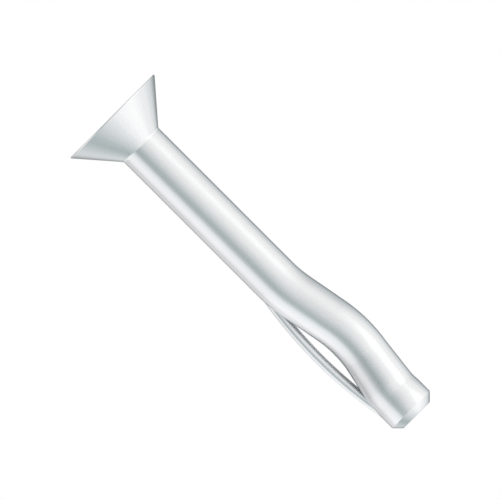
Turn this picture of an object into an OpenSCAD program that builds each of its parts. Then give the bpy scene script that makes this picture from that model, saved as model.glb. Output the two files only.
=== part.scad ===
// Split drive anchor, one piece of steel: flat countersunk head, plain round shank, and an end that is
// split lengthwise into a main leg and a slender rear strand, bowed apart and joined again at the tip.
// It stands on its flat head: the head's top is the plane z = 0, the tip points up, along +Z.
// The main leg bows to -X and the strand to +X, and -Y is the front. All sizes are in millimetres.

/* [Anchor] */
// Overall length, from the head's flat top to the end of the tip
anchor_l = 50.8; // [44:0.1:70]
// Diameter of the plain shank
shank_d = 5.8; // [5.2:0.05:6.4]

/* [Head] */
// Diameter of the head at its rim
head_d = 14; // [11:0.1:17]
// Included angle of the countersunk head
head_angle = 82; // [78:1:100]
// Height of the thin straight land round the rim
head_land = 0.16; // [0.1:0.02:0.4]
// Edge break at the foot of the land
head_break = 0.06; // [0.02:0.01:0.09]
// Radius in the neck, between the head and the shank
neck_r = 0.4; // [0.1:0.05:1]

/* [Split end] */
// Length over which the end is split
split_l = 18.5; // [16:0.1:24]
// Length of solid shank below the split that bends with the main leg
bend_lead = 1.2; // [0.6:0.1:2]
// Distance from the split's start to the crest of the main leg
crest_at = 10.1; // [8:0.1:10.5]
// Sideways bow of the main leg at its crest
leg_bow = 1.5; // [1.1:0.02:1.8]
// Bend radius where the main leg leaves the shank
entry_bend_r = 18; // [8:0.5:20]
// Bend radius at the main leg's crest
crest_bend_r = 17; // [8:0.5:20]
// Bend radius where the main leg runs into the tip
exit_bend_r = 8; // [4:0.5:12]
// Width of the rear strand, seen from the front
strand_w = 1.3; // [1:0.05:1.5]
// Sideways bow of the rear strand
strand_bow = 0.8; // [0.6:0.05:1.2]
// Hairline between the main leg and the strand where the split starts
slit_w = 0.1; // [0.06:0.01:0.2]

/* [Tip] */
// Diameter of the tip
tip_d = 6.3; // [5.9:0.05:6.8]
// Length of the whole tip, its chamfer included
tip_l = 3.7; // [2.5:0.1:6]
// Height of the 45 degree chamfer at the end
tip_chamfer = 0.95; // [0.3:0.05:1.2]
// Sideways set of the tip's axis from the shank's axis
tip_set = 0.45; // [0.2:0.05:0.7]

/* [Hidden] */
$fn = 96;

shank_r = shank_d/2;
head_r = head_d/2;
tip_r = tip_d/2;

// Head: the cone's lower end and the neck radius that is tangent to cone and shank.
cone_half = head_angle/2;
cone_foot = head_land + (head_r - shank_r)/tan(cone_half);
neck_top = cone_foot + neck_r*tan(cone_half/2);
neck_low = neck_top - neck_r*sin(cone_half);
neck_out = shank_r + neck_r*(1 - cos(cone_half));

// Split end: heights of its end, its start, the main leg's crest and the leg's first bend.
tip_z = anchor_l - tip_l;
split_z = tip_z - split_l;
crest_z = split_z + crest_at;
bend_z = split_z - bend_lead;

// Sections are joined by pushing each bend, drawn a hair slimmer, a little way into its straight neighbours.
seat = 0.04;
slim = 0.006;

// Each side of the crest is a bend, a straight and a second bend, all tangent. Where a stated pair of
// bend radii would leave too little straight, both are made smaller in proportion.
rise_in = leg_bow;
rise_out = leg_bow - tip_set;
run_in = crest_at + bend_lead;
run_out = split_l - crest_at;
room = 0.85;
function fit_pair(run, rise, pair) = min(1, room*run/sin(2*atan(rise/run))/pair);
function fit_r(r, fit) = floor(10*r*fit)/10;
function bend_a(run, rise, pair) = asin(pair/norm([run, pair - rise])) - atan2(pair - rise, run);
function straight_l(run, a, pair) = (run - pair*sin(a))/cos(a);
fit_in = fit_pair(run_in, rise_in, entry_bend_r + crest_bend_r);
fit_out = fit_pair(run_out, rise_out, exit_bend_r + crest_bend_r);
entry_r = fit_r(entry_bend_r, fit_in);
crest_in_r = fit_r(crest_bend_r, fit_in);
crest_out_r = fit_r(crest_bend_r, fit_out);
exit_r = fit_r(exit_bend_r, fit_out);
a_in = bend_a(run_in, rise_in, entry_r + crest_in_r);
a_out = bend_a(run_out, rise_out, exit_r + crest_out_r);
l_in = straight_l(run_in, a_in, entry_r + crest_in_r);
l_out = straight_l(run_out, a_out, exit_r + crest_out_r);
a_split = asin(bend_lead/entry_r);

// The main leg thickens towards the tip, and the tip's foot flares the rest of the way.
leg_end_r = shank_r + 0.8*(tip_r - shank_r);
flare_l = 0.8;

// Strand: one shallow arc over the split's whole length, its ends sunk into the shank and the tip.
strand_sink = 1.6;
strand_z = split_z + split_l/2;
strand_half = split_l/2;
strand_arc_r = (strand_half*strand_half + strand_bow*strand_bow)/(2*strand_bow);
strand_a = asin((strand_half + strand_sink)/strand_arc_r);
strand_x = shank_r - strand_w;
strand_round = strand_w/2;

// Sections are drawn with x to the right as seen from the front, and y towards the front.
module corner(x, y, r) {
  translate([x, y - 2*r]) square(2*r);
}

module leg_section(r, less) {
  difference() {
    circle(r - less);
    corner(strand_x - slit_w - less, less, r);
  }
}

module strand_section() {
  intersection() {
    circle(shank_r);
    union() {
      translate([strand_x + strand_round, -slit_w - strand_round]) circle(strand_round);
      translate([strand_x, -slit_w - strand_round - shank_d]) square([shank_d, shank_d]);
    }
  }
}

// A bend turns its section about an axis that runs front to back, from angle a0 to a1.
module bend(x, z, r, a0, a1) {
  translate([x, 0, z]) rotate([90, 0, 0]) rotate([0, 0, a0])
    rotate_extrude(angle = a1 - a0) translate([r, 0]) children();
}

function seat_a(r) = seat/r*180/PI;

// The straight part of a leg, leaning by a towards -X, from its lower end at [x, 0, z].
module leaning(x, z, a, l, r0, r1) {
  translate([x, 0, z]) rotate([0, -a, 0]) difference() {
    cylinder(h = l, r1 = r0, r2 = r1);
    translate([strand_x - slit_w, 0, -shank_d]) cube([shank_d, shank_d, l + 2*shank_d]);
  }
}

module head_and_shank() {
  rotate_extrude() {
    polygon([
      [0, 0], [head_r - head_break, 0], [head_r, head_break], [head_r, head_land],
      [neck_out, neck_low], [0, neck_low]
    ]);
    difference() {
      polygon([[0, neck_low], [neck_out, neck_low], [shank_r + neck_r, neck_top], [0, neck_top]]);
      translate([shank_r + neck_r, neck_top]) circle(neck_r);
    }
    translate([0, neck_top]) square([shank_r, bend_z - neck_top]);
  }
}

module main_leg() {
  // The solid part of the first bend, below the split, then the whole bend with the strand's corner cut.
  bend(-entry_r, bend_z, entry_r, -seat_a(entry_r), a_split) circle(shank_r - slim);
  bend(-entry_r, bend_z, entry_r, -seat_a(entry_r), a_in + seat_a(entry_r)) leg_section(shank_r, slim);
  leaning(-entry_r*(1 - cos(a_in)), bend_z + entry_r*sin(a_in), a_in, l_in, shank_r, shank_r);
  bend(crest_in_r - leg_bow, crest_z, crest_in_r, 180, 180 + a_in + seat_a(crest_in_r))
    mirror([1, 0]) leg_section(shank_r, slim);

  // From the crest to the tip.
  bend(crest_out_r - leg_bow, crest_z, crest_out_r, 180, 180 - a_out - seat_a(crest_out_r))
    mirror([1, 0]) leg_section(shank_r, slim);
  leaning(-leg_bow + crest_out_r*(1 - cos(a_out)), crest_z + crest_out_r*sin(a_out), -a_out, l_out,
    shank_r, leg_end_r);
  bend(-tip_set - exit_r, tip_z, exit_r, -a_out - seat_a(exit_r), seat_a(exit_r))
    leg_section(leg_end_r, slim);
}

module strand() {
  bend(strand_bow - strand_arc_r, strand_z, strand_arc_r, -strand_a, strand_a) strand_section();
}

module tip() {
  translate([-tip_set, 0, tip_z]) rotate_extrude() polygon([
    [0, 0], [leg_end_r, 0], [tip_r, flare_l], [tip_r, tip_l - tip_chamfer],
    [tip_r - tip_chamfer, tip_l], [0, tip_l]
  ]);
}

module anchor_body() {
  color([0.8, 0.83, 0.83]) union() {
    head_and_shank();
    main_leg();
    strand();
    tip();
  }
}

anchor_body();
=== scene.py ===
import math
import bmesh
import bpy
from mathutils import Matrix, Vector


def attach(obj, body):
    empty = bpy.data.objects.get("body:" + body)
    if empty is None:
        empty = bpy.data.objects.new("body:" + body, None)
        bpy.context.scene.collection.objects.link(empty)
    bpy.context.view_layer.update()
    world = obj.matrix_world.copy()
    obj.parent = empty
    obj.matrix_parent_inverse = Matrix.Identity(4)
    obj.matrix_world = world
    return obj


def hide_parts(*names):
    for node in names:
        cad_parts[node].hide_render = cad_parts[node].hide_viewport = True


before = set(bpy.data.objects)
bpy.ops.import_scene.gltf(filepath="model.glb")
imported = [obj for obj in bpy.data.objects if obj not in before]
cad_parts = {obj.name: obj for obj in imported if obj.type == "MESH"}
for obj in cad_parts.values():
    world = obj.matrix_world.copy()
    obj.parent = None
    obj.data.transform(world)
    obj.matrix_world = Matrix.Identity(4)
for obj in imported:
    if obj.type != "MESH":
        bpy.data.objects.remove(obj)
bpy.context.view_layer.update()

mm = 0.001
scene = bpy.context.scene
print("frame loaded")

# The camera stands level in front of the anchor and is rolled, so that the head is at the upper left.
cameraSetup = {
    "centre": (-0.324 * mm, 22.88 * mm), "distance": 300 * mm, "width": 59.485 * mm,
    "right": (-1, 0, 1), "up": (-1, 0, -1), "clip": (0.01, 10),
}


def makeCamera():
    data = bpy.data.cameras.new("camera")
    data.type = "ORTHO"
    data.ortho_scale = cameraSetup["width"]
    data.clip_start, data.clip_end = cameraSetup["clip"]
    camera = bpy.data.objects.new("camera", data)
    scene.collection.objects.link(camera)
    right = Vector(cameraSetup["right"]).normalized()
    up = Vector(cameraSetup["up"]).normalized()
    turn = Matrix((right, up, right.cross(up))).transposed().to_4x4()
    x, z = cameraSetup["centre"]
    camera.matrix_world = Matrix.Translation((x, -cameraSetup["distance"], z)) @ turn
    scene.camera = camera


makeCamera()
print("camera placed")

# How near counts as on a level, on a cut, on the leg's round, or on a wall, in the mesh's own unit.
near = {"level": 1e-4, "cut": 1e-6, "round": 2e-3, "wall": 0.05}
alongRod = 0.5   # an edge runs along the rod if this share of its direction does, or more


def vertsOf(geom):
    return [g for g in geom if isinstance(g, bmesh.types.BMVert)]


def edgesOf(geom):
    return [g for g in geom if isinstance(g, bmesh.types.BMEdge)]


def vertsAlong(edges):
    # Each vertex once, in the order of the edges.
    return list(dict.fromkeys(v for e in edges for v in e.verts))


def ringAt(bm, z):
    return [e for e in bm.edges if all(abs(v.co.z - z) < near["level"] for v in e.verts)]


def cut(bm, at, across, clear=False):
    # Cuts all faces along a plane. With clear, what lies beyond it goes.
    bmesh.ops.bisect_plane(bm, geom=bm.verts[:] + bm.edges[:] + bm.faces[:], dist=near["cut"],
                           plane_co=at, plane_no=across, clear_outer=clear)


def roundEdges(bm, edges, size, segments):
    bmesh.ops.bevel(bm, geom=edges, offset=size, offset_type="OFFSET", affect="EDGES",
                    segments=segments, profile=0.5, material=-1)


def longCorners(edges, angle):
    # The edges sharper than angle, in degrees, that run along the rod.
    return [e for e in edges if len(e.link_faces) == 2 and e.calc_face_angle() > math.radians(angle)
            and abs((e.verts[0].co - e.verts[1].co).normalized().z) > alongRod]


def grow(bm, edges, lift, scale=1.0, centreX=0.0):
    # Extrudes a level ring upwards and scales it about its axis.
    made = bmesh.ops.extrude_edge_only(bm, edges=edges)["geom"]
    bmesh.ops.transform(bm, verts=vertsOf(made),
                        matrix=Matrix.Translation((centreX, 0, lift)) @ Matrix.Diagonal((scale, scale, 1, 1))
                        @ Matrix.Translation((-centreX, 0, 0)))
    return edgesOf(made)


def turnRing(bm, edges, centreX, centreZ, angle, steps):
    # A bend, which leans the ring further towards -X.
    made = bmesh.ops.spin(bm, geom=edges, cent=(centreX, 0, centreZ), axis=(0, -1, 0), angle=angle,
                          steps=steps, use_merge=False, use_duplicate=False)
    return edgesOf(made["geom_last"])


def pushRing(bm, edges, centre, lean, length, steps, scale=1.0):
    # A straight stretch of a leaning leg, which thickens by scale on the way.
    direction = Vector((-math.sin(lean), 0, math.cos(lean)))
    grown = 1.0
    for step in range(1, steps + 1):
        made = bmesh.ops.extrude_edge_only(bm, edges=edges)["geom"]
        verts, edges = vertsOf(made), edgesOf(made)
        bmesh.ops.translate(bm, vec=direction * (length / steps), verts=verts)
        centre = centre + direction * (length / steps)
        target = 1 + (scale - 1) * step / steps
        bmesh.ops.transform(bm, verts=verts, matrix=Matrix.Translation(centre)
                            @ Matrix.Scale(target / grown, 4) @ Matrix.Translation(-centre))
        grown = target
    return edges


def legBend(run, rise, pair):
    # The lean and the straight length between two bends whose radii add up to pair.
    lean = math.asin(pair / math.hypot(run, pair - rise)) - math.atan2(pair - rise, run)
    return lean, (run - pair * math.sin(lean)) / math.cos(lean)


# Anchor body, in millimetres and degrees, with the same sizes as the solid.
anchor = {
    "length": 50.8, "shankR": 2.9,
    "headR": 7.0, "headAngle": 82, "headLand": 0.16, "headBreak": 0.06, "neckR": 0.4,
    "splitLength": 18.5, "bendLead": 1.2, "crestAt": 10.1, "legBow": 1.5,
    "entryR": 18, "crestR": 17, "exitR": 8, "legEndR": 3.1, "flare": 0.8,
    "tipR": 3.15, "tipLength": 3.7, "tipChamfer": 0.95, "tipSet": 0.45,
    # How finely the mesh is divided, from the head to the tip.
    "ringSteps": 128, "neckSteps": 6, "splitSteps": 4, "entrySteps": 8, "riseSteps": 4,
    "crestSteps": (12, 10), "fallSteps": 6, "exitSteps": 6,
    # The tiny rounding of its sharp edges.
    "landRound": 0.04, "landSteps": 2, "endRound": 0.06, "chamferRound": 0.05, "edgeRound": 0.07,
    "roundSteps": 3,
    # How the split's two walls and the leg's long corners are told from the rest.
    "wallFacing": 0.7, "sideFacing": 0.99, "cornerAngle": 35, "cornerReach": (0.2, 0.01),
}


def makeBody():
    a = anchor
    r = a["shankR"]
    half = math.radians(a["headAngle"] / 2)
    coneFoot = a["headLand"] + (a["headR"] - r) / math.tan(half)
    tipZ = a["length"] - a["tipLength"]
    splitZ = tipZ - a["splitLength"]
    bendZ = splitZ - a["bendLead"]
    crestZ = splitZ + a["crestAt"]
    cutX = r - strand["width"] - strand["slit"]   # the leg's inner wall behind the strand

    # One ring is grown from the head's flat top upwards. It has a vertex at each end of the strand's corner.
    bm = bmesh.new()
    bmesh.ops.create_circle(bm, cap_ends=False, radius=r, segments=a["ringSteps"])
    cut(bm, (cutX, 0, 0), (1, 0, 0))
    cut(bm, (0, 0, 0), (0, 1, 0))
    bmesh.ops.scale(bm, vec=(a["headR"] / r, a["headR"] / r, 1), verts=bm.verts[:])
    ring = bm.edges[:]
    bmesh.ops.contextual_create(bm, geom=ring)
    ring = grow(bm, ring, a["headLand"])
    ring = grow(bm, ring, coneFoot - a["headLand"], r / a["headR"])
    grow(bm, ring, bendZ - coneFoot)
    roundEdges(bm, ringAt(bm, coneFoot), a["neckR"] * math.tan(half / 2), a["neckSteps"])
    roundEdges(bm, ringAt(bm, a["headLand"]), a["landRound"], a["landSteps"])
    roundEdges(bm, ringAt(bm, 0), a["headBreak"], a["roundSteps"])
    ring = ringAt(bm, bendZ)

    # The split starts a little way into the first bend: a wall closes the strand's corner.
    leanIn, straightIn = legBend(a["crestAt"] + a["bendLead"], a["legBow"], a["entryR"] + a["crestR"])
    leanOut, straightOut = legBend(a["splitLength"] - a["crestAt"], a["legBow"] - a["tipSet"],
                                   a["exitR"] + a["crestR"])
    leanSplit = math.asin(a["bendLead"] / a["entryR"])
    ring = turnRing(bm, ring, -a["entryR"], bendZ, leanSplit, a["splitSteps"])

    def station(lean):
        # Carries a level section at the origin to where the first bend leans that far.
        centre = Vector((-a["entryR"] * (1 - math.cos(lean)), 0, bendZ + a["entryR"] * math.sin(lean)))
        return Matrix.Translation(centre) @ Matrix.Rotation(-lean, 4, "Y")

    def inCorner(edge, section):
        middle = section.inverted() @ ((edge.verts[0].co + edge.verts[1].co) / 2)
        return middle.y > 0 and middle.x > cutX

    start = station(leanSplit)
    corner = [e for e in ring if inCorner(e, start)]
    kept = [e for e in ring if e not in corner]
    ends = [v for v in vertsAlong(corner) if any(e in kept for e in v.link_edges)]
    inner = bm.verts.new((cutX, 0, 0))
    bmesh.ops.transform(bm, matrix=start, verts=[inner])
    walls = [bm.edges.new((inner, v)) for v in ends]
    bmesh.ops.contextual_create(bm, geom=corner + walls)

    # The main leg goes on without the corner: bend, straight, crest, straight and last bend.
    crestIn, crestOut = a["crestSteps"]
    ring = turnRing(bm, kept + walls, -a["entryR"], bendZ, leanIn - leanSplit, a["entrySteps"])
    ring = pushRing(bm, ring, station(leanIn).translation, leanIn, straightIn, a["riseSteps"])
    ring = turnRing(bm, ring, a["crestR"] - a["legBow"], crestZ, -leanIn, crestIn)
    ring = turnRing(bm, ring, a["crestR"] - a["legBow"], crestZ, -leanOut, crestOut)
    centre = Vector((-a["legBow"] + a["crestR"] * (1 - math.cos(leanOut)), 0,
                     crestZ + a["crestR"] * math.sin(leanOut)))
    thicken = a["legEndR"] / r
    ring = pushRing(bm, ring, centre, -leanOut, straightOut, a["fallSteps"], thicken)
    turnRing(bm, ring, -a["tipSet"] - a["exitR"], tipZ, leanOut, a["exitSteps"])

    # The split ends: the corner's arc is set in again and walled, and the full ring goes on as the tip.
    finish = Matrix.Translation((-a["tipSet"], 0, tipZ)) @ Matrix.Scale(thicken, 4)
    again = bmesh.ops.duplicate(bm, geom=corner + vertsAlong(corner))["geom"]
    bmesh.ops.transform(bm, matrix=finish @ start.inverted(), verts=vertsOf(again))
    bmesh.ops.remove_doubles(bm, verts=bm.verts[:], dist=near["level"])
    level = ringAt(bm, tipZ)
    rim = [e for e in level
           if all(abs((finish.inverted() @ v.co).xy.length - r) < near["round"] for v in e.verts)]
    bmesh.ops.contextual_create(bm, geom=[e for e in level if e not in rim or inCorner(e, finish)])
    ring = grow(bm, rim, a["flare"], a["tipR"] / a["legEndR"], -a["tipSet"])
    ring = grow(bm, ring, a["tipLength"] - a["flare"] - a["tipChamfer"])
    ring = grow(bm, ring, a["tipChamfer"], (a["tipR"] - a["tipChamfer"]) / a["tipR"], -a["tipSet"])
    bmesh.ops.contextual_create(bm, geom=ring)
    roundEdges(bm, ringAt(bm, a["length"]), a["endRound"], a["roundSteps"])
    roundEdges(bm, ringAt(bm, a["length"] - a["tipChamfer"]), a["chamferRound"], a["roundSteps"])
    bmesh.ops.recalc_face_normals(bm, faces=bm.faces[:])

    # The two walls that the split cut get the sheared finish, and the leg's long corners are rounded.
    for face in bm.faces:
        middle = face.calc_center_median()
        inSplit = splitZ < middle.z < tipZ and middle.y > -near["wall"]
        sideWall = face.normal.y > a["sideFacing"] and middle.y < near["wall"]
        if inSplit and (sideWall or face.normal.x > a["wallFacing"]):
            face.material_index = 1
    before, beyond = a["cornerReach"]
    legEdges = [e for e in bm.edges if all(splitZ - before < v.co.z < tipZ + beyond for v in e.verts)]
    roundEdges(bm, longCorners(legEdges, a["cornerAngle"]), a["edgeRound"], a["roundSteps"])
    return bm


# The slender rear strand, in millimetres and degrees. Its ends sink into the shank and the tip, and a slit
# parts it from the leg.
strand = {
    "width": 1.3, "bow": 0.8, "sink": 1.6, "slit": 0.1, "frontSteps": 14, "arcSteps": 64,
    "wallFacing": 0.9, "wallTurn": 0.1, "cornerAngle": 50,
}


def makeStrand():
    # The shank's round is planed down to the strand's section: flat inside, half-round at the front.
    bm = bmesh.new()
    r = strand["width"] / 2
    centre = Vector((anchor["shankR"] - r, strand["slit"] + r, 0))
    halfStep = Matrix.Rotation(math.pi / anchor["ringSteps"], 4, "Z")
    bmesh.ops.create_circle(bm, cap_ends=True, radius=anchor["shankR"], segments=anchor["ringSteps"],
                            matrix=halfStep)
    for step in range(strand["frontSteps"] + 1):
        turn = math.pi * (1 + step / strand["frontSteps"])
        across = Vector((math.cos(turn), math.sin(turn), 0))
        cut(bm, centre + across * r, across, clear=True)

    # The section is bent along a shallow arc, from inside the shank to inside the tip.
    half = anchor["splitLength"] / 2
    middleZ = anchor["length"] - anchor["tipLength"] - half
    arcR = (half * half + strand["bow"] ** 2) / (2 * strand["bow"])
    reach = math.asin((half + strand["sink"]) / arcR)
    axis = (strand["bow"] - arcR, 0, middleZ)
    verts = bm.verts[:]
    bmesh.ops.translate(bm, vec=(strand["bow"], 0, middleZ), verts=verts)
    bmesh.ops.rotate(bm, cent=axis, matrix=Matrix.Rotation(-reach, 3, (0, -1, 0)), verts=verts)
    bmesh.ops.spin(bm, geom=bm.verts[:] + bm.edges[:] + bm.faces[:], cent=axis, axis=(0, -1, 0),
                   angle=2 * reach, steps=strand["arcSteps"], use_merge=False, use_duplicate=False)
    bmesh.ops.recalc_face_normals(bm, faces=bm.faces[:])
    for face in bm.faces:
        if face.normal.x < -strand["wallFacing"] and abs(face.normal.y) < strand["wallTurn"]:
            face.material_index = 1
    roundEdges(bm, longCorners(bm.edges, strand["cornerAngle"]), anchor["edgeRound"], anchor["roundSteps"])
    return bm


def asObject(bm, name, materials, unit=1.0):
    # The bmesh becomes an object. Its own unit is given in metres.
    bmesh.ops.scale(bm, vec=(unit, unit, unit), verts=bm.verts[:])
    mesh = bpy.data.meshes.new(name)
    bm.to_mesh(mesh)
    bm.free()
    for material in materials:
        mesh.materials.append(material)
    piece = bpy.data.objects.new(name, mesh)
    scene.collection.objects.link(piece)
    return piece


def applyModifiers(piece):
    bpy.context.view_layer.update()
    done = bpy.data.meshes.new_from_object(piece.evaluated_get(bpy.context.evaluated_depsgraph_get()))
    old = piece.data
    piece.modifiers.clear()
    piece.data = done
    bpy.data.meshes.remove(old)
    done.name = piece.name


def joinPiece(piece, other):
    # A true union, so that one closed skin is left.
    union = piece.modifiers.new("union", "BOOLEAN")
    union.operation = "UNION"
    union.solver = "EXACT"
    union.object = other
    applyModifiers(piece)
    mesh = other.data
    bpy.data.objects.remove(other)
    bpy.data.meshes.remove(mesh)


skin = {"sharpAngle": 32, "faceWeight": 80}   # degrees, and how far the large faces lead the normals


def smoothSkin(piece):
    # Smooth faces with true sharp edges, and normals led by the large faces.
    bm = bmesh.new()
    bm.from_mesh(piece.data)
    for face in bm.faces:
        face.smooth = True
    for edge in bm.edges:
        edge.smooth = len(edge.link_faces) == 2 and edge.calc_face_angle(0) < math.radians(skin["sharpAngle"])
    bm.to_mesh(piece.data)
    bm.free()
    weigh = piece.modifiers.new("weigh", "WEIGHTED_NORMAL")
    weigh.mode = "FACE_AREA"
    weigh.weight = skin["faceWeight"]
    weigh.keep_sharp = True
    applyModifiers(piece)


def markStraight(piece):
    # Notes where each point sat, in millimetres, before the head was forged and the legs were bent, so that
    # the drawing marks follow both.
    a = anchor
    r, half = a["shankR"], a["splitLength"] / 2
    tipZ = a["length"] - a["tipLength"]
    splitZ = tipZ - a["splitLength"]
    crestZ = splitZ + a["crestAt"]
    wallX = r - strand["width"] - strand["slit"] / 2

    def ease(start, end, z):
        t = min(max((z - start) / (end - start), 0), 1)
        return t * t * (3 - 2 * t)

    straight = piece.data.attributes.new("straight", "FLOAT_VECTOR", "POINT")
    for v in piece.data.vertices:
        x, y, z = v.co / mm
        if z < splitZ - a["bendLead"]:
            shrink = min(1, r / max(math.hypot(x, y), r))
            x, y = x * shrink, y * shrink
        elif z < tipZ and y > strand["slit"] / 2 and x > wallX:
            x -= strand["bow"] * (1 - min(1, ((z - splitZ - half) / half) ** 2))
        else:
            x += a["legBow"] * ease(splitZ - a["bendLead"], crestZ, z)
            x -= (a["legBow"] - a["tipSet"]) * ease(crestZ, tipZ, z)
        straight.data[v.index].vector = (x, y, z)


def fill(tree, node, inputs):
    # Gives each input its value, or links another node's output to it.
    for key, value in inputs.items():
        if isinstance(value, bpy.types.NodeSocket):
            tree.links.new(value, node.inputs[key])
        else:
            node.inputs[key].default_value = value


def addNode(tree, kind, inputs, **settings):
    node = tree.nodes.new(kind)
    for name, value in settings.items():
        setattr(node, name, value)
    fill(tree, node, inputs)
    return node


def addMaterial(name):
    material = bpy.data.materials.new(name)
    material.use_nodes = True
    return material, material.node_tree


# Marks drawn along the rod, soft clouds and a fine grain. Scales are per millimetre. A range gives the noise
# values between which the tone goes from dark to light, or the gloss from smooth to rough.
drawing = {
    "noiseRoughness": 0.55, "marksDetail": 3, "cloudScale": 0.3, "cloudDetail": 2, "cloudShare": 0.45,
    "grainScale": 14.0, "grainDetail": 2, "toneRange": (0.35, 0.65), "glossRange": (0.3, 0.7),
    "marksBump": 1.0, "grainBump": 0.5,
}


def makeDrawnMetal():
    group = bpy.data.node_groups.new("drawnMetal", "ShaderNodeTree")
    colour, number, vector = "NodeSocketColor", "NodeSocketFloat", "NodeSocketVector"
    sockets = {
        "INPUT": {"Light": colour, "Dark": colour, "Smooth": number, "Rough": number, "Marks": vector,
                  "Depth": number},
        "OUTPUT": {"Color": colour, "Roughness": number, "Normal": vector},
    }
    for side, kinds in sockets.items():
        for name, kind in kinds.items():
            group.interface.new_socket(name, in_out=side, socket_type=kind)
    given = group.nodes.new("NodeGroupInput").outputs
    place = addNode(group, "ShaderNodeAttribute", {}, attribute_name="straight").outputs["Vector"]

    def noise(at, scale, detail):
        return addNode(group, "ShaderNodeTexNoise", {
            "Vector": at, "Scale": scale, "Detail": detail, "Roughness": drawing["noiseRoughness"],
        }).outputs["Fac"]

    stretched = addNode(group, "ShaderNodeVectorMath", {0: place, 1: given["Marks"]}, operation="MULTIPLY")
    marks = noise(stretched.outputs["Vector"], 1.0, drawing["marksDetail"])
    clouds = noise(place, drawing["cloudScale"], drawing["cloudDetail"])
    grain = noise(place, drawing["grainScale"], drawing["grainDetail"])

    both = addNode(group, "ShaderNodeMix", {"Factor": drawing["cloudShare"], "A": marks, "B": clouds})
    low, high = drawing["toneRange"]
    spread = addNode(group, "ShaderNodeMapRange", {
        "Value": both.outputs["Result"], "From Min": low, "From Max": high,
    })
    tone = addNode(group, "ShaderNodeMix", {
        "Factor": spread.outputs["Result"], "A": given["Dark"], "B": given["Light"],
    }, data_type="RGBA")
    low, high = drawing["glossRange"]
    gloss = addNode(group, "ShaderNodeMapRange", {
        "Value": grain, "From Min": low, "From Max": high,
        "To Min": given["Smooth"], "To Max": given["Rough"],
    })
    scratches = addNode(group, "ShaderNodeBump", {
        "Strength": drawing["marksBump"], "Distance": given["Depth"], "Height": marks,
    })
    pits = addNode(group, "ShaderNodeBump", {
        "Strength": drawing["grainBump"], "Distance": given["Depth"], "Height": grain,
        "Normal": scratches.outputs["Normal"],
    })
    addNode(group, "NodeGroupOutput", {
        "Color": tone.outputs["Result"], "Roughness": gloss.outputs["Result"],
        "Normal": pits.outputs["Normal"],
    })
    return group


# Zinc plate: tones are linear, marks are per millimetre across and along the rod, depth is in metres.
zincPlate = {
    "light": (0.88, 0.88, 0.885), "dark": (0.84, 0.845, 0.85), "smooth": 0.25, "rough": 0.31,
    "across": 4.0, "along": 0.12, "depth": 4e-6,
}
# The walls that were sheared when the anchor was split are duller and coarser.
shearedPlate = {
    "light": (0.83, 0.835, 0.84), "dark": (0.70, 0.71, 0.72), "smooth": 0.32, "rough": 0.44,
    "across": 7.0, "along": 0.25, "depth": 1.2e-5,
}


def makePlate(name, finish, group):
    material, tree = addMaterial(name)
    metal = addNode(tree, "ShaderNodeGroup", {
        "Light": (*finish["light"], 1), "Dark": (*finish["dark"], 1),
        "Smooth": finish["smooth"], "Rough": finish["rough"],
        "Marks": (finish["across"], finish["across"], finish["along"]), "Depth": finish["depth"],
    }, node_tree=group)
    fill(tree, tree.nodes["Principled BSDF"], {
        "Metallic": 1.0, "Base Color": metal.outputs["Color"], "Roughness": metal.outputs["Roughness"],
        "Normal": metal.outputs["Normal"],
    })
    return material


drawnMetal = makeDrawnMetal()
plates = [makePlate("zincPlate", zincPlate, drawnMetal), makePlate("shearedPlate", shearedPlate, drawnMetal)]
print("finishes made")

anchorBody = asObject(makeBody(), "anchor_finish", plates, mm)
print("head, leg and tip made")
joinPiece(anchorBody, asObject(makeStrand(), "strand", plates, mm))
smoothSkin(anchorBody)
markStraight(anchorBody)
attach(anchorBody, "root")
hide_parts("anchor_body")
print("strand joined")

# The floor, in metres. It lies a hair under the head. Its lift is the glow that it has where it is seen.
floor = {"tone": (0.92, 0.915, 0.91), "roughness": 0.8, "size": 2.4, "gap": 0.05 * mm, "lift": 0.16}


def makeFloor():
    material, tree = addMaterial("paleFloor")

    # The floor comes up to the background's white where it is seen, and from beneath it isn't there.
    ray = tree.nodes.new("ShaderNodeLightPath").outputs
    seen = ray["Is Camera Ray"]
    for name in ("Is Glossy Ray", "Is Transmission Ray"):
        seen = addNode(tree, "ShaderNodeMath", {0: seen, 1: ray[name]}, operation="MAXIMUM").outputs["Value"]
    lift = addNode(tree, "ShaderNodeMath", {0: seen, 1: floor["lift"]}, operation="MULTIPLY")
    shader = tree.nodes["Principled BSDF"]
    fill(tree, shader, {
        "Base Color": (*floor["tone"], 1), "Roughness": floor["roughness"],
        "Emission Color": (1, 1, 1, 1), "Emission Strength": lift.outputs["Value"],
    })
    beneath = addNode(tree, "ShaderNodeMixShader", {
        "Fac": tree.nodes.new("ShaderNodeNewGeometry").outputs["Backfacing"],
        1: shader.outputs["BSDF"], 2: tree.nodes.new("ShaderNodeBsdfTransparent").outputs["BSDF"],
    })
    fill(tree, tree.nodes["Material Output"], {"Surface": beneath.outputs["Shader"]})

    bm = bmesh.new()
    bmesh.ops.create_grid(bm, x_segments=1, y_segments=1, size=floor["size"] / 2)
    plane = asObject(bm, "floor", [material])
    plane.location.z = -floor["gap"]
    plane.visible_glossy = False   # the metal shows the white background and the card all round


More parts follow.
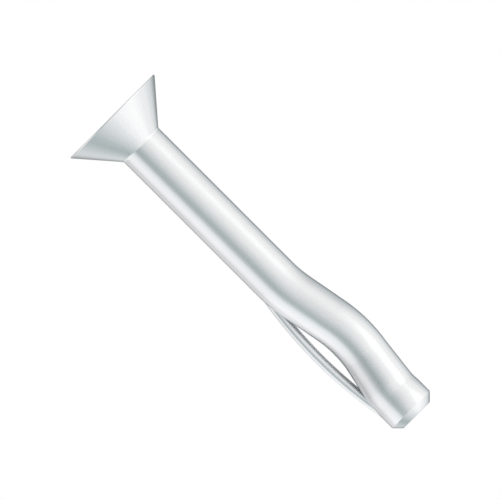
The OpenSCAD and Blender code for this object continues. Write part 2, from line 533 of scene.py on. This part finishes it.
# A toned card bends round the anchor and gives the metal its bands: the background's white shows through the
# card's opening, and a grey strip arches from the front over the anchor to the back. Sizes are in metres.
card = {
    "radius": 1.1, "height": 0.025, "steps": 96,
    # The way it opens, and how far out the opening starts, in radii.
    "opensTo": (-0.7435, -0.4121, 0.5264), "opensAt": 0.64,
    # A little less light comes from below the horizon.
    "dim": 0.7, "dimBelow": (-0.35, 0.1),
    # Less comes from straight behind too, which draws the edges.
    "shadeTowards": (0, 1, 0), "shade": 0.25, "shadeFrom": 0.75,
    # From the side opposite the opening, over the grey strip, to the opening.
    "tones": (
        (0.00, (0.60, 0.60, 0.62)),
        (0.13, (0.92, 0.92, 0.93)),
        (0.22, (0.84, 0.86, 0.87)),
        (0.30, (0.77, 0.81, 0.82)),
        (0.38, (0.58, 0.63, 0.64)),
        (0.46, (0.40, 0.47, 0.48)),
        (0.54, (0.47, 0.54, 0.55)),
        (0.62, (0.68, 0.71, 0.72)),
        (0.70, (0.75, 0.79, 0.81)),
        (0.80, (0.98, 1.00, 1.00)),
        (0.92, (1.00, 1.00, 1.00)),
    ),
}


def makeCard():
    material, tree = addMaterial("cardTones")
    tree.nodes.clear()
    place = tree.nodes.new("ShaderNodeTexCoord").outputs["Object"]
    direction = addNode(tree, "ShaderNodeVectorMath", {0: place}, operation="NORMALIZE").outputs["Vector"]

    def towards(axis):
        return addNode(tree, "ShaderNodeVectorMath", {0: direction, 1: axis},
                       operation="DOT_PRODUCT").outputs["Value"]

    def mapped(value, start, end, low, high, kind="LINEAR"):
        return addNode(tree, "ShaderNodeMapRange", {
            "Value": value, "From Min": start, "From Max": end, "To Min": low, "To Max": high,
        }, interpolation_type=kind).outputs["Result"]

    tones = addNode(tree, "ShaderNodeValToRGB", {"Fac": mapped(towards(card["opensTo"]), -1, 1, 0, 1)})
    stops = tones.color_ramp.elements
    for number, (position, tone) in enumerate(card["tones"]):
        stop = stops[number] if number < len(stops) else stops.new(position)
        stop.position = position
        stop.color = (*tone, 1)
    dim = mapped(towards((0, 0, 1)), *card["dimBelow"], card["dim"], 1)
    shade = mapped(towards(card["shadeTowards"]), card["shadeFrom"], 1, 1, card["shade"], "SMOOTHSTEP")
    strength = addNode(tree, "ShaderNodeMath", {0: dim, 1: shade}, operation="MULTIPLY")
    glow = addNode(tree, "ShaderNodeEmission", {
        "Color": tones.outputs["Color"], "Strength": strength.outputs["Value"],
    })
    addNode(tree, "ShaderNodeOutputMaterial", {"Surface": glow.outputs["Emission"]})

    bm = bmesh.new()
    bmesh.ops.create_uvsphere(bm, u_segments=card["steps"], v_segments=card["steps"] // 2,
                              radius=card["radius"])
    way = Vector(card["opensTo"])
    cut(bm, way * card["radius"] * card["opensAt"], way, clear=True)
    bent = asObject(bm, "tonedCard", [material])
    bent.location.z = card["height"]
    bent.visible_camera = False
    bent.visible_transmission = False


def makeWorld():
    # Plain white at the usual strength of 1, for every kind of ray.
    world = bpy.data.worlds.new("white")
    world.use_nodes = True
    world.node_tree.nodes["Background"].inputs["Color"].default_value = (1, 1, 1, 1)
    scene.world = world


# Azimuth from the front towards -X and elevation, in degrees, distance and size in metres, power in watts.
lamps = {
    "keyLamp": {"azimuth": 61, "elevation": 24, "distance": 0.8, "size": 0.75, "power": 0.45},
    "fillLamp": {"azimuth": -80, "elevation": 12, "distance": 0.8, "size": 1.0, "power": 0.6},
    "topLamp": {"azimuth": 85, "elevation": 68, "distance": 0.8, "size": 0.45, "power": 0.08},
}
lampAim = (0, 0, 0.02)   # a point inside the shank


def makeLamps():
    for name, lamp in lamps.items():
        data = bpy.data.lights.new(name, "AREA")
        data.shape = "DISK"
        data.size = lamp["size"]
        data.energy = lamp["power"]
        light = bpy.data.objects.new(name, data)
        scene.collection.objects.link(light)
        turn, lift = math.radians(lamp["azimuth"]), math.radians(lamp["elevation"])
        away = Vector((-math.sin(turn) * math.cos(lift), -math.cos(turn) * math.cos(lift), math.sin(lift)))
        light.matrix_world = (Matrix.Translation(away * lamp["distance"] + Vector(lampAim))
                              @ away.to_track_quat("Z", "Y").to_matrix().to_4x4())


makeFloor()
makeCard()
makeWorld()
makeLamps()
scene.view_settings.view_transform = "Standard"
print("stage and light set")
